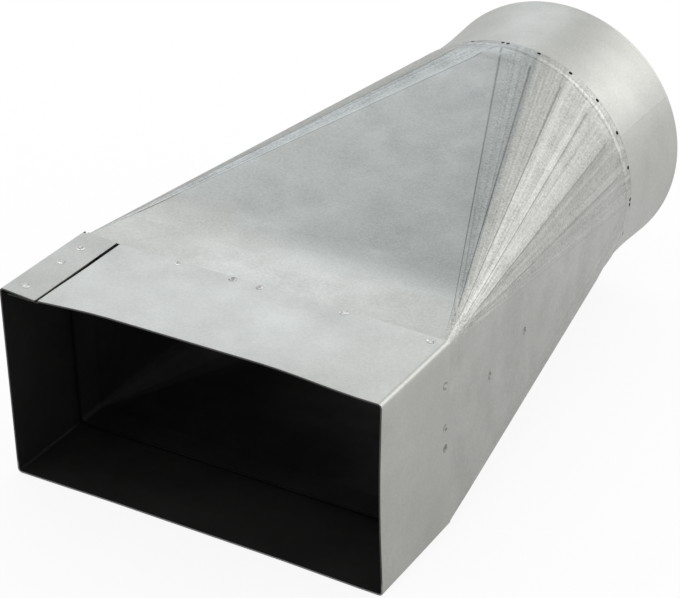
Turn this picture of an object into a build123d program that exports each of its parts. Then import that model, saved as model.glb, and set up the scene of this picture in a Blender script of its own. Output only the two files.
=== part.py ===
from build123d import *
import os
from math import asin, cos, degrees, radians, sin, tan

# Duct reducer of spot-welded galvanised sheet: rectangular sleeve, folded body in two halves, round spigot.
# Millimetres. The origin is the centre of the rectangular mouth, +Y runs to the round end, +Z is up.

# Driving dimensions of the whole fitting
sheet = 0.7
overall_length = 300.0
mouth_width = 160.0
mouth_height = 79.0
sleeve_length = 51.0
spigot_diameter = 124.2
spigot_length = 50.0
neck_length = 5.0

# Fits between nested sheets
fit_gap = 0.1
lip_depth = 12.0
lap_margin = 1.0

# Sleeve: folds and the lap that closes it on the top, beside the left corner
sleeve_fold_radius = 0.8
tab_width = 16.0
slit_width = 2.0
sleeve_lap_gap = 0.5
joggle_radius = 0.5

# Body: corner folds, side seams and the notches at the folds' round ends
folds_per_corner = 6
apex_width = 2.4
fade_length = 7.0
side_lap = 8.0
side_seam_gap = 0.3
side_lap_root = 2.0
notch_width = 1.6
notch_show = 1.5

# Spigot: the axial lap that closes the rolled strip
spigot_seam_angle = 27.0
spigot_seam_gap = 0.6
spigot_lap = 12.0
spigot_lap_gap = 0.2
spigot_joggle_run = 3.0

# Places along the duct
body_start = sleeve_length
spigot_start = overall_length - spigot_length
neck_start = spigot_start - neck_length
fade_start = neck_start - fade_length
rect_lip_start = body_start - lip_depth
round_lip_end = spigot_start + lip_depth

# Sizes across the duct
half_width = mouth_width / 2
half_height = mouth_height / 2
spigot_radius = spigot_diameter / 2
lip_inset = sheet + fit_gap
lip_radius = spigot_radius - lip_inset

# Angles of the fold lines' round ends, one fan of folds for each corner of the mouth
half_apex = degrees(asin(apex_width / 2 / lip_radius))
fold_step = (90 - 2 * half_apex) / folds_per_corner
fold_angles = [
    90 * quarter + half_apex + i * fold_step
    for quarter in range(4)
    for i in range(folds_per_corner + 1)
]


def duct_section(y):
    """Plane across the duct at y, as seen from the mouth, so a negative extrude runs along +Y."""
    return Plane(origin=(0, y, 0), x_dir=(1, 0, 0), z_dir=(0, -1, 0))


def around(radius, angle):
    """Point of a duct section at an angle from +X towards +Z."""
    return (radius * cos(radians(angle)), radius * sin(radians(angle)))


# Rectangular sleeve: one strip folded round four corners, its end joggled down under the tab
lap_drop = sheet + sleeve_lap_gap
tab_edge = -half_width + tab_width
slit_edge = tab_edge + slit_width
sleeve_tongue_edge = -half_width + sheet + sleeve_fold_radius + lap_margin
sleeve_tongue_length = rect_lip_start - lap_margin
outer_fold = sleeve_fold_radius + sheet
joggle_shift = sheet * tan(radians(45 / 2))


def sleeve_wrap(depth):
    """Corners of the sleeve's strip from the tab's edge right round, at a depth below its outer face."""
    x = half_width - depth
    z = half_height - depth
    return [(tab_edge, z), (-x, z), (-x, -z), (x, -z), (x, z)]


def joggle(depth, shift):
    """Corners of the step down to the tongue and the tongue's end, at a depth below the outer face."""
    z = half_height - depth
    low = z - lap_drop
    return [(slit_edge + shift, z), (slit_edge - lap_drop + shift, low), (sleeve_tongue_edge, low)]


def strip_section(outer_points, outer_radii, inner_points, inner_radii):
    """Section of a folded strip between the lines of its two faces."""
    with BuildLine() as outline:
        outer = FilletPolyline(outer_points, radius=outer_radii)
        inner = FilletPolyline(inner_points, radius=inner_radii)
        Line(outer @ 0, inner @ 0)
        Line(outer @ 1, inner @ 1)
    make_face(outline.edges())


with BuildPart() as rect_sleeve:
    with BuildSketch(duct_section(0)):
        strip_section(
            sleeve_wrap(0) + joggle(0, 0),
            [outer_fold] * 4 + [joggle_radius + sheet, joggle_radius],
            sleeve_wrap(sheet) + joggle(sheet, joggle_shift),
            [sleeve_fold_radius] * 4 + [joggle_radius, joggle_radius + sheet],
        )
    extrude(amount=-sleeve_tongue_length)
    # Behind the tongue the strip ends flat at the slit, which leaves room for the body's lip
    with BuildSketch(duct_section(sleeve_tongue_length)):
        strip_section(
            sleeve_wrap(0) + [(slit_edge, half_height)],
            [outer_fold] * 4,
            sleeve_wrap(sheet) + [(slit_edge, half_height - sheet)],
            [sleeve_fold_radius] * 4,
        )
    extrude(amount=sleeve_tongue_length - sleeve_length)
rect_sleeve.part.label = "rect_sleeve"


def folded_solid(inset):
    """The body filled in, from the rectangle to the neck, with every face moved in by inset."""
    radius = lip_radius - inset
    side = half_width - inset
    top = half_height - inset
    corners = [(side, top), (-side, top), (-side, -top), (side, -top)]
    share = (fade_start - body_start) / (neck_start - body_start)
    fold_points = []
    for i, angle in enumerate(fold_angles):
        x, z = corners[i // (folds_per_corner + 1)]
        end_x, end_z = around(radius, angle)
        fold_points.append((x + share * (end_x - x), z + share * (end_z - z)))
    with BuildPart() as solid:
        rectangle_end = [(x, body_start, z) for x, z in corners]
        fold_ends = [(x, fade_start, z) for x, z in fold_points]
        ConvexPolyhedron(rectangle_end + fold_ends)
        # The folds fade out between the last flat section and the round neck
        with BuildSketch(duct_section(fade_start)) as flat_section:
            with BuildLine():
                Polyline(*fold_points, close=True)
            make_face()
        with BuildSketch(duct_section(neck_start)) as round_section:
            with BuildLine():
                for start, end in zip(fold_angles, fold_angles[1:] + [fold_angles[0] + 360]):
                    CenterArc((0, 0), radius, start, end - start)
            make_face()
        loft([flat_section.sketch, round_section.sketch], ruled=True)
    return solid.part


def body_shell():
    """The whole body as a sheet: folded walls, a joggled lip at the sleeve, a notched lip at the spigot."""
    lip_width = 2 * (half_width - lip_inset)
    lip_height = 2 * (half_height - lip_inset)
    lip_bore_width = lip_width - 2 * sheet
    lip_bore_height = lip_height - 2 * sheet
    with BuildPart() as shell:
        add(folded_solid(0))
        add(folded_solid(sheet), mode=Mode.SUBTRACT)
        # Lip that fits inside the sleeve
        with BuildSketch(duct_section(rect_lip_start)):
            RectangleRounded(lip_width, lip_height, outer_fold)
            RectangleRounded(lip_bore_width, lip_bore_height, sleeve_fold_radius, mode=Mode.SUBTRACT)
        extrude(amount=-lip_depth)
        # Step of the joggle, from the lip out to the wall that stands flush with the sleeve
        with BuildSketch(duct_section(body_start)):
            Rectangle(mouth_width - sheet, mouth_height - sheet)
            Rectangle(lip_bore_width, lip_bore_height, mode=Mode.SUBTRACT)
        extrude(amount=-sheet)
        # Lip that fits inside the spigot
        with BuildSketch(duct_section(neck_start)):
            Circle(lip_radius)
            Circle(lip_radius - sheet, mode=Mode.SUBTRACT)
        extrude(amount=neck_start - round_lip_end)
        # Notches that let the lip turn at each fold, open at its hidden end
        notch_root = spigot_start - notch_show
        notch_length = 2 * (round_lip_end - notch_root)
        fold_ends = [around(lip_radius, angle) for angle in fold_angles]
        notch_planes = [
            Plane(origin=(x, round_lip_end, z), x_dir=(0, 1, 0), z_dir=(x, 0, z))
            for x, z in fold_ends
        ]
        with BuildSketch(*notch_planes):
            SlotOverall(notch_length, notch_width)
        extrude(amount=2 * sheet, both=True, mode=Mode.SUBTRACT)
    return shell.part


body = body_shell()

# Upper half of the body, cut along the side triangles' centre lines
with BuildPart() as upper_half_shell:
    add(body)
    split(bisect_by=Plane.XY, keep=Keep.TOP)
upper_half_shell.part.label = "upper_half_shell"

# Tongues of the side seams: strips one sheet further in, behind the upper half's edges
with BuildPart() as side_tongues:
    add(folded_solid(sheet))
    add(folded_solid(2 * sheet), mode=Mode.SUBTRACT)
    with Locations((0, body_start + 2 * sheet, -side_lap_root)):
        Box(
            mouth_width,
            fade_start - body_start - 2 * sheet,
            side_lap_root + side_lap,
            align=(Align.CENTER, Align.MIN, Align.MIN),
            mode=Mode.INTERSECT,
        )

# Lower half of the body with the tongues
with BuildPart() as lower_half_shell:
    add(body)
    split(bisect_by=Plane.XY.offset(-side_seam_gap), keep=Keep.BOTTOM)
    add(side_tongues.part)
lower_half_shell.part.label = "lower_half_shell"

# Round spigot: one strip rolled into a ring, its end joggled in under its start
tongue_radius = spigot_radius - sheet - spigot_lap_gap
gap_angle = degrees(spigot_seam_gap / spigot_radius)
joggle_angle = degrees(spigot_joggle_run / spigot_radius)
lap_angle = degrees(spigot_lap / spigot_radius)
butt_ring_angle = 360 - gap_angle
lap_ring_angle = butt_ring_angle - joggle_angle
tongue_angle = spigot_seam_angle - gap_angle
spigot_tongue_start = round_lip_end + lap_margin


def strip_end(radius, angle):
    """Cut end of the rolled strip, across the sheet from its outer face at a radius."""
    Line(around(radius, angle), around(radius - sheet, angle))


with BuildPart() as round_spigot:
    # Over the body's lip the strip's ends butt
    with BuildSketch(duct_section(spigot_start)):
        with BuildLine():
            for depth in (0, sheet):
                CenterArc((0, 0), spigot_radius - depth, spigot_seam_angle, butt_ring_angle)
            strip_end(spigot_radius, spigot_seam_angle)
            strip_end(spigot_radius, spigot_seam_angle - gap_angle)
        make_face()
    extrude(amount=spigot_start - spigot_tongue_start)
    # Behind it they lap
    with BuildSketch(duct_section(spigot_tongue_start)):
        with BuildLine():
            for depth in (0, sheet):
                ring = CenterArc((0, 0), spigot_radius - depth, spigot_seam_angle, lap_ring_angle)
                tongue = CenterArc((0, 0), tongue_radius - depth, tongue_angle, lap_angle)
                Line(ring @ 1, tongue @ 0)
            strip_end(spigot_radius, spigot_seam_angle)
            strip_end(tongue_radius, tongue_angle + lap_angle)
        make_face()
    extrude(amount=spigot_tongue_start - overall_length)
round_spigot.part.label = "round_spigot"

os.makedirs("parts", exist_ok=True)
export_step(rect_sleeve.part, "parts/rect_sleeve.step")
export_step(upper_half_shell.part, "parts/upper_half_shell.step")
export_step(lower_half_shell.part, "parts/lower_half_shell.step")
export_step(round_spigot.part, "parts/round_spigot.step")
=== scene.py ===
"""A spot-welded duct reducer of galvanised sheet, modelled sheet by sheet around its frame."""
from math import atan, atan2, cos, hypot, pi, radians, sin

import bmesh
import bpy
from bpy.props import FloatProperty, FloatVectorProperty, IntProperty, PointerProperty
from bpy.types import Operator, Panel, PropertyGroup
from mathutils import Matrix, Vector


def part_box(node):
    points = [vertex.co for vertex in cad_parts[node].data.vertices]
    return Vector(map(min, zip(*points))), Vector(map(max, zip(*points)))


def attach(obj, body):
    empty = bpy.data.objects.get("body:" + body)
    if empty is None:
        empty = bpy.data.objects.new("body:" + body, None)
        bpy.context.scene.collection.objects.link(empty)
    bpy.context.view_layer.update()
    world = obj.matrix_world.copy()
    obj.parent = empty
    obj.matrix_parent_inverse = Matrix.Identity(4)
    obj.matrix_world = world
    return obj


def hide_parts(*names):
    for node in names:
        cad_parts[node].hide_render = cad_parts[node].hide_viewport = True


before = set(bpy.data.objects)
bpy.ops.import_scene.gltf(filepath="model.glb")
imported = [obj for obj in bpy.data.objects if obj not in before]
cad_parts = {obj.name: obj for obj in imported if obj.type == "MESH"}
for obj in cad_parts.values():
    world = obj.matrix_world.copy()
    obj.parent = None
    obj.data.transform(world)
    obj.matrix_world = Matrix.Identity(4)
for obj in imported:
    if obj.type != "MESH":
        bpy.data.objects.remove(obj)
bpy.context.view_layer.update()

bl_info = {
    "name": "Duct Reducer",
    "version": (1, 0, 0),
    "blender": (4, 5, 0),
    "location": "View3D > Sidebar > Duct Reducer",
    "description": "Models a spot-welded duct reducer of galvanised sheet around its frame",
    "category": "Add Mesh",
}

# Places taken from the frame, in metres
SLEEVE_LOW, SLEEVE_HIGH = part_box("rect_sleeve")
BODY_LOW, BODY_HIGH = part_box("upper_half_shell")
SPIGOT_LOW, SPIGOT_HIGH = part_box("round_spigot")
HALF_WIDTH = SLEEVE_HIGH.x
HALF_HEIGHT = SLEEVE_HIGH.z
SLEEVE_END = SLEEVE_HIGH.y
RECT_LIP_START = BODY_LOW.y
ROUND_LIP_END = BODY_HIGH.y
LIP_RADIUS = BODY_HIGH.z
SPIGOT_RADIUS = SPIGOT_HIGH.z
SPIGOT_START = SPIGOT_LOW.y
DUCT_END = SPIGOT_HIGH.y

BODY = "root"
PHOTO_WIDTH = 680

MM = 0.001
# Lengths that differ by less are the same
TOUCH = 1e-5
ACROSS, ALONG, UP = (1, 0, 0), (0, 1, 0), (0, 0, 1)
# Leaves the part of a vector that points away from the duct's axis
AWAY = Vector((1, 0, 1))
# Places of the materials on each sheet
ZINC, INSIDE, EDGE = range(3)
# How nearly a normal follows an axis: of a face that faces that way, of a flat side, and round its vertices
FACING = 0.9
FLAT_SIDE = 0.985
FLAT_AROUND = 0.97
# Rims sharper than the first angle are rounded, and edges sharper than the second stay sharp in the shading
RIM_ANGLE = radians(60)
SHARP_ANGLE = radians(20)
# Half of how far a vertex of a crease may lie from its fold's angle
CREASE_ANGLE = radians(0.1)
# How near to both walls of a corner, or to the middle of a side, a vertex counts as there
CORNER_REACH = 3 * MM
APEX_REACH = 3 * MM
# How far below the seam the lower end of the spigot's strip may lie
STRIP_END_REACH = 0.5 * MM

# Neck's bend in millimetres: how far each row lies behind its start, and how far inside the spigot's face
NECK_PROFILE = ((0.6, 0.30), (1.3, 0.06), (2.0, -0.12), (2.7, -0.12), (3.4, 0.0), (4.2, 0.06), (7.2, 0.03))
# Rows of that profile that get a painted highlight
BEND_HIGHLIGHT_ROWS = (1.3, 2.0, 2.7)

# Spot welds in millimetres: x and y on the sleeve's top, y and z on the sides
LAP_WELDS = ((-72.5, 6.3), (-72.5, 27.4), (-72.5, 39.5))
TOP_WELDS = ((-34.7, 48.9), (-10.3, 48.6), (1.6, 48.2), (37.8, 46.9), (74.4, 44.6))
SIDE_WELDS = ((44.7, 22.7), (45.0, 5.0), (45.3, -3.6))
SEAM_WELDS = ((86, 4), (122, 4))

# Softboxes: azimuth and elevation in degrees, width and height in metres, all at one distance from the duct
SOFTBOXES = (("left", -38, 27, 1.3, 0.5), ("right", 36, 28, 1.17, 1.2))
SOFTBOX_DISTANCE = 1.6


def length(name, description, default):
    """A size in metres that a user can set."""
    return FloatProperty(name=name, description=description, default=default, unit="LENGTH", precision=5)


def angle(name, description, default):
    """An angle that a user can set, given in degrees."""
    return FloatProperty(name=name, description=description, default=radians(default), subtype="ANGLE")


def fraction(name, description, default):
    """A number from 0 to 1 that a user can set."""
    return FloatProperty(name=name, description=description, default=default, min=0, max=1)


def power(name, description, default):
    """A lamp's power in watts that a user can set."""
    return FloatProperty(name=name, description=description, default=default, unit="POWER")


def count(name, description, default):
    """A whole number that a user can set."""
    return IntProperty(name=name, description=description, default=default)


def colour(name, description, default):
    """A colour that a user can set."""
    return FloatVectorProperty(
        name=name, description=description, default=default, subtype="COLOR", size=3, min=0, max=1
    )


class SheetSettings(PropertyGroup):
    """The sheet that every piece is made of, and its finish."""

    thickness: length("Thickness", "Thickness of the galvanised sheet", 0.7 * MM)
    burr: length("Edge rounding", "Rounding of the cut edges", 0.12 * MM)
    zinc: colour("Zinc", "Colour of the clean zinc", (0.419, 0.424, 0.402))
    flat_zinc: colour("Flat zinc", "Colour of the clean zinc behind the soft bend", (0.414, 0.430, 0.419))
    # Dull zinc is painted shade on the flats behind the soft bend
    shaded_flat_zinc: colour("Dull zinc", "Colour of the zinc where it was worked", (0.303, 0.317, 0.307))
    rolled_zinc: colour("Rolled zinc", "Colour of the zinc on the rolled spigot", (0.446, 0.451, 0.427))
    inside: colour("Inside", "Colour of the shaded inside", (0.050, 0.050, 0.048))
    # The cut edges' dark colour is painted shade, lightened along the bottom as a painted highlight
    cut_edge: colour("Cut edge", "Colour of the bare steel at the cut edges", (0.08, 0.08, 0.078))
    # The two weld colours are lit and shaded copies: a painted highlight on the top's welds and painted shade
    # on the sides' welds
    lit_weld_metal: colour("Weld metal", "Colour of the spot welds on the top, lightened as a painted highlight", (0.54, 0.54, 0.525))
    shaded_weld_metal: colour("Shaded weld", "Colour of the spot welds on the sides, darkened as painted shade", (0.31, 0.31, 0.30))
    smooth_roughness: fraction("Smooth roughness", "Roughness of the plain sleeve", 0.34)
    rolled_roughness: fraction("Rolled roughness", "Roughness of the rolled spigot", 0.42)
    folded_roughness: fraction("Folded roughness", "Roughness of the folded body", 0.35)
    inside_roughness: fraction("Inside roughness", "Roughness of the shaded inside", 0.6)
    edge_roughness: fraction("Edge roughness", "Roughness of the cut edges", 0.4)
    weld_roughness: fraction("Weld roughness", "Roughness of the spot welds", 0.22)


class SleeveSettings(PropertyGroup):
    """The rectangular sleeve and the lap that closes it."""

    fold_radius: length("Fold radius", "Outer radius of the four long folds", 1.8 * MM)
    fold_steps: count("Fold steps", "Faces round each long fold", 5)
    tab_width: length("Tab width", "Width of the tab that closes the lap", 16 * MM)
    slit_width: length("Slit width", "Width of the slit beside the tab", 1.4 * MM)
    lap_drop: length("Lap drop", "How far the tongue lies below the tab", 1.2 * MM)
    lap_margin: length("Lap margin", "Room between the tongue and what it meets", 1 * MM)
    row_spacing: length("Row spacing", "Spacing of the rows that let the walls bow", 8 * MM)
    bow_reach: length("Bow reach", "How far a bow in the rim runs into the walls", 45 * MM)
    top_bow: length("Top bow", "How far the top rim bows up", 2.3 * MM)
    bottom_bow: length("Bottom bow", "How far the bottom rim bows up", 0.6 * MM)
    side_bow: length("Side bow", "How far the right rim bows in", 0.9 * MM)
    corner_lift: length("Corner lift", "How far the tab's long fold stands up", 1.5 * MM)
    lift_reach: length("Lift reach", "How far the lift of a fold runs into the walls", 20 * MM)
    seam_skew: length("Seam skew", "How much shorter the sleeve is at its top right corner", 3.5 * MM)
    nick_radius: length("Nick radius", "Radius of the nick at the rear left corner", 0.8 * MM)
    nick_inset: length("Nick inset", "How far the nick lies from the left side", 2 * MM)
    nick_reach: length("Nick reach", "How far the nick's centre lies in front of the rear edge", 0.6 * MM)


class BodySettings(PropertyGroup):
    """The folded body, from the rectangle to the round neck."""

    folds_per_corner: count("Folds per corner", "Facets in each corner's fan", 6)
    corner_radius: length("Corner radius", "Radius of the corners where the fans start", 2.5 * MM)
    apex_width: length("Apex width", "Width of each flat side's narrow end", 2.4 * MM)
    crease_width: length("Crease width", "Width of a fold's crease at the round end", 1.6 * MM)
    crease_depth: length("Crease depth", "Depth of a fold's crease at the round end", 0.12 * MM)
    facet_cuts: count("Facet cuts", "Lines along each facet", 3)
    row_spacing: length("Row spacing", "Spacing of the rings along the body", 12 * MM)
    bend_width: length("Bend width", "Width of the soft bend in the top and the bottom", 126 * MM)
    bend_place: length("Bend place", "How far behind the sleeve the top and the bottom bend", 29 * MM)
    bend_depth: length("Bend depth", "How far the soft bend draws the top and the bottom in", 3 * MM)
    bend_reach: length("Bend reach", "How far the bend runs out on each side", 28 * MM)
    bend_columns: length("Bend columns", "Spacing of the lines that let the soft bend form", 9 * MM)
    bend_rows: length("Bend rows", "Spacing of the rows that round the bend", 3 * MM)
    bend_softness: length("Bend softness", "Length on each side over which the bend is rounded", 12 * MM)
    fade_length: length("Fade length", "Length over which the folds fade into the neck", 12 * MM)
    fade_spacing: length("Fade spacing", "Spacing of the rings where the folds fade", 2 * MM)
    neck_length: length("Neck length", "Length of the round neck in front of the spigot", 7 * MM)
    neck_inset: length("Neck inset", "How far the folds' ends lie inside the spigot's face", 0.1 * MM)
    lip_dip_length: length("Lip dip length", "Length of the dip in the round lip", 0.2 * MM)
    lip_inset: length("Lip inset", "How far the lip for the sleeve stands in", 0.8 * MM)
    seam_lap: length("Seam lap", "Height of the tongue behind each side seam", 8 * MM)
    notch_radius: length("Notch radius", "Radius of the notch at each fold's round end", 0.9 * MM)
    notch_show: length("Notch show", "How far a notch's centre lies in front of the spigot", 1 * MM)
    press_reach: length("Press reach", "How far the neck's oval shape runs into the folded walls", 9 * MM)


class SpigotSettings(PropertyGroup):
    """The round spigot, rolled from one strip."""

    steps: count("Steps", "Faces round the ring", 180)
    row_spacing: length("Row spacing", "Spacing of the rings along the spigot", 3 * MM)
    seam_angle: angle("Seam angle", "Angle of the lap from the right towards the top", 27)
    press_angle: angle("Press angle", "Direction in which the spigot's front is pressed oval", 137)
    press_drop: length("Press drop", "How far the spigot is pressed in on each side", 2.1 * MM)
    press_reach: length("Press reach", "How far the spigot's oval shape runs on along the duct", 50 * MM)
    press_start: length("Press start", "How far behind the spigot's front it is pressed in most", 14 * MM)
    press_end: length("Press end", "Where that stretch ends", 20 * MM)
    seam_gap: length("Seam gap", "Gap between the strip's ends", 0.03 * MM)
    seam_peak: length("Seam peak", "How far the flat ends stand out at the seam", 0.03 * MM)
    seam_reach: length("Seam reach", "How far the flat ends run from the seam", 12 * MM)
    end_line: length("End line", "How far the line rolled round the spigot lies from its end", 2 * MM)
    end_line_depth: length("End line depth", "Depth of that line", 0.1 * MM)
    end_line_reach: length("End line reach", "How far that line runs out on each side", 0.5 * MM)
    lap: length("Lap", "Length of the tongue behind the seam", 12 * MM)
    lap_steps: count("Lap steps", "Faces round that tongue", 6)
    lap_gap: length("Lap gap", "Gap between the lapped sheets", 0.2 * MM)
    lap_margin: length("Lap margin", "Room between the tongue and the body's lip", 1 * MM)


class WeldSettings(PropertyGroup):
    """The dents that the spot welds leave."""

    radius: length("Dent radius", "Radius of a spot weld's dent", 1.7 * MM)
    depth: length("Dent depth", "Depth of a spot weld's dent", 0.5 * MM)


class StageSettings(PropertyGroup):
    """The floor, the lights and the camera."""

    focal_pixels: FloatProperty(
        name="Focal length", description="Focal length in pixels of the picture's width", default=2166.676
    )
    azimuth: angle("Azimuth", "Camera's angle round the duct", 30.874)
    elevation: angle("Elevation", "Camera's angle above the duct", 29.3523)
    roll: angle("Roll", "Camera's roll", -0.8881)
    distance: length("Distance", "Camera's distance from its target", 851.549 * MM)
    target: FloatVectorProperty(
        name="Target", description="Point that the camera looks at", default=(0, 0.10667, 0), subtype="XYZ"
    )
    shift_right: length("Shift right", "Camera's shift along the picture's width", 0.3968 * MM)
    shift_up: length("Shift up", "Camera's shift along the picture's height", 4.7554 * MM)
    floor_size: length("Floor size", "Width of the floor", 8.0)
    floor_colour: colour("Floor", "Colour of the floor", (0.88, 0.88, 0.88))
    floor_glow: fraction("Floor whiteness", "Share of the floor that shows plain white", 0.88)
    mirror_glow: fraction("Mirrored whiteness", "The same share in reflections", 0.26)
    room_level: FloatProperty(name="Room level", description="Strength of the white room", default=1, min=0)
    left_power: power("Left softbox", "Power of the left softbox", 2.05)
    left_colour: colour("Left tint", "Colour of the left softbox", (0.84, 0.91, 1.0))
    right_power: power("Right softbox", "Power of the right softbox", 4.15)
    right_colour: colour("Right tint", "Colour of the right softbox", (1.0, 1.0, 1.0))


class DuctReducerSettings(PropertyGroup):
    """All the settings of the duct reducer."""

    sheet: PointerProperty(type=SheetSettings)
    sleeve: PointerProperty(type=SleeveSettings)
    body: PointerProperty(type=BodySettings)
    spigot: PointerProperty(type=SpigotSettings)
    weld: PointerProperty(type=WeldSettings)
    stage: PointerProperty(type=StageSettings)


# Modelling helpers


def near(a, b):
    """True where two lengths are the same."""
    return abs(a - b) < TOUCH


def deselect_all():
    """Deselects every object, because an operator acts on all that is selected."""
    bpy.ops.object.select_all(action="DESELECT")


def select_only(piece):
    """Selects one object and makes it the active one."""
    deselect_all()
    piece.select_set(True)
    bpy.context.view_layer.objects.active = piece


def take_piece(name):
    """Names the primitive that was just added and puts its place into its mesh."""
    bpy.ops.object.transform_apply(location=True, rotation=True, scale=True)
    piece = bpy.context.object
    piece.name = name
    piece.data.name = name
    return piece


def middle(element):
    """The middle of a vertex, an edge or a face."""
    if isinstance(element, bmesh.types.BMVert):
        return element.co
    if isinstance(element, bmesh.types.BMEdge):
        return (element.verts[0].co + element.verts[1].co) / 2
    return element.calc_center_median()


def pick(kind, test):
    """Selects the vertices, edges or faces in edit mode that pass a test, and nothing else."""
    bpy.ops.mesh.select_mode(type=kind)
    bpy.ops.mesh.select_all(action="DESELECT")
    mesh = bmesh.from_edit_mesh(bpy.context.edit_object.data)
    for element in {"VERT": mesh.verts, "EDGE": mesh.edges, "FACE": mesh.faces}[kind]:
        if test(element):
            element.select_set(True)
    mesh.select_flush_mode()
    bmesh.update_edit_mesh(bpy.context.edit_object.data)


def pick_all():
    """Selects the whole mesh in edit mode."""
    bpy.ops.mesh.select_all(action="SELECT")


def places_between(start, end, spacing):
    """Evenly spaced places inside a stretch, about a spacing apart."""
    steps = max(1, round((end - start) / spacing))
    return [start + (end - start) * i / steps for i in range(1, steps)]


def cut_across(axis, places):
    """Cuts the whole mesh at each place along an axis."""
    for place in places:
        pick_all()
        bpy.ops.mesh.bisect(plane_co=Vector(axis) * place, plane_no=axis)


def extrude_edges(x, y, z):
    """Extrudes the selected edges along a vector and leaves the new edges selected."""
    bpy.ops.mesh.extrude_region_move(TRANSFORM_OT_translate={"value": (x, y, z)})


def face_outwards():
    """Turns every face of the sheet in edit mode the same way, away from the duct's axis."""
    pick_all()
    bpy.ops.mesh.remove_doubles(threshold=TOUCH)
    bpy.ops.mesh.normals_make_consistent(inside=False)
    mesh = bmesh.from_edit_mesh(bpy.context.edit_object.data)
    outward = sum(face.calc_area() * face.normal.dot(middle(face) * AWAY) for face in mesh.faces)
    if outward < 0:
        bpy.ops.mesh.flip_normals()


def drawn_along(falloff, reach, connected=False):
    """Options of a transform that draws what lies within its reach along."""
    return {
        "use_proportional_edit": True,
        "use_proportional_connected": connected,
        "proportional_edit_falloff": falloff,
        "proportional_size": reach,
    }


def bow(value, reach):
    """Moves the selected stretch of the sheet, and draws the wall around it along."""
    bpy.ops.transform.translate(value=value, **drawn_along("SMOOTH", reach, connected=True))


def scale_across(x, z, **options):
    """Scales the selected stretch about the duct's axis."""
    bpy.ops.transform.resize(value=(x, 1, z), center_override=(0, 0, 0), **options)


def turn_selected(value):
    """Turns the selected stretch about the duct's axis."""
    bpy.ops.transform.rotate(value=value, orient_axis="Y", center_override=(0, 0, 0))


def turn_all(value):
    """Turns the whole mesh about the duct's axis, from the right towards the top."""
    pick_all()
    turn_selected(value)


def in_stretch(vert, rise, height, half_width):
    """True for a vertex in the middle of the top, past a height, or of the bottom where rise is negative."""
    return vert.co.z * rise > height and abs(vert.co.x) < half_width


def at_sleeve_end(vert):
    """True for a vertex where the sleeve meets the body."""
    return near(vert.co.y, SLEEVE_END)


def skew_seam(skew):
    """Draws the ring where the sleeve meets the body forward, most of all at its top right corner."""
    pick("VERT", at_sleeve_end)
    bpy.ops.mesh.hide(unselected=True)
    pick("VERT", lambda vert: min(vert.co.x - HALF_WIDTH, vert.co.z - HALF_HEIGHT) > -CORNER_REACH)
    bpy.ops.transform.translate(value=(0, -skew, 0), **drawn_along("SHARP", 2 * HALF_WIDTH))
    bpy.ops.mesh.reveal(select=False)


def set_ring_radius(radius):
    """Scales the selected ring about the duct's axis to a mean radius."""
    mesh = bmesh.from_edit_mesh(bpy.context.edit_object.data)
    radii = [hypot(vert.co.x, vert.co.z) for vert in mesh.verts if vert.select]
    scale = radius * len(radii) / sum(radii)
    scale_across(scale, scale)


def press_oval(spigot, is_pressed, drop, reach):
    """Presses the rings that pass a test oval, and draws the sheet within reach along."""
    turn_all(-spigot.press_angle)
    pick("VERT", is_pressed)
    scale_across(1 - drop / SPIGOT_RADIUS, 1, **drawn_along("SMOOTH", reach))
    turn_all(spigot.press_angle)


def smooth_share(distance, reach):
    """Share of a move that reaches a distance away under the smooth falloff."""
    share = 1 - distance / reach
    return share * share * (3 - 2 * share)


def apply_modifier(piece, kind, **values):
    """Adds a modifier with the given values and applies it."""
    bpy.context.view_layer.objects.active = piece
    modifier = piece.modifiers.new(kind, kind)
    for name, value in values.items():
        setattr(modifier, name, value)
    bpy.ops.object.modifier_apply(modifier=modifier.name)


def is_sharp(edge):
    """True for an edge between two faces that is as sharp as a rim."""
    return edge.is_manifold and edge.calc_face_angle() > RIM_ANGLE


def thicken(piece, sheet, finish, rim, is_rim):
    """Gives a surface the sheet's thickness, inwards, with a shaded inside and rounded edges at its rims."""
    select_only(piece)
    for material in (finish(sheet), inside_material(sheet), edge_material(sheet)):
        piece.data.materials.append(material)
    apply_modifier(
        piece,
        "SOLIDIFY",
        thickness=sheet.thickness,
        offset=-1,
        use_even_offset=True,
        material_offset=INSIDE,
        material_offset_rim=rim,
    )
    bpy.ops.object.mode_set(mode="EDIT")
    pick("EDGE", lambda edge: is_sharp(edge) and is_rim(middle(edge)))
    bpy.ops.mesh.bevel(offset=sheet.burr, segments=2)
    trim_ends()
    bpy.ops.object.mode_set(mode="OBJECT")


def trim_ends():
    """Flattens what the bowed sheet in edit mode turns out past the duct's two ends."""
    for end, is_past in ((0, lambda vert: vert.co.y < 0), (DUCT_END, lambda vert: vert.co.y > DUCT_END)):
        pick("VERT", is_past)
        bpy.ops.transform.resize(value=(1, 0, 1), center_override=(0, end, 0))


def cut_away(piece, cutters):
    """Joins the cutters and takes them out of a piece."""
    deselect_all()
    for cutter in cutters:
        cutter.select_set(True)
    bpy.context.view_layer.objects.active = cutters[0]
    bpy.ops.object.join()
    cutter = bpy.context.object
    apply_modifier(
        piece, "BOOLEAN", operation="DIFFERENCE", solver="EXACT", object=cutter, material_mode="TRANSFER"
    )
    bpy.data.objects.remove(cutter)


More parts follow.
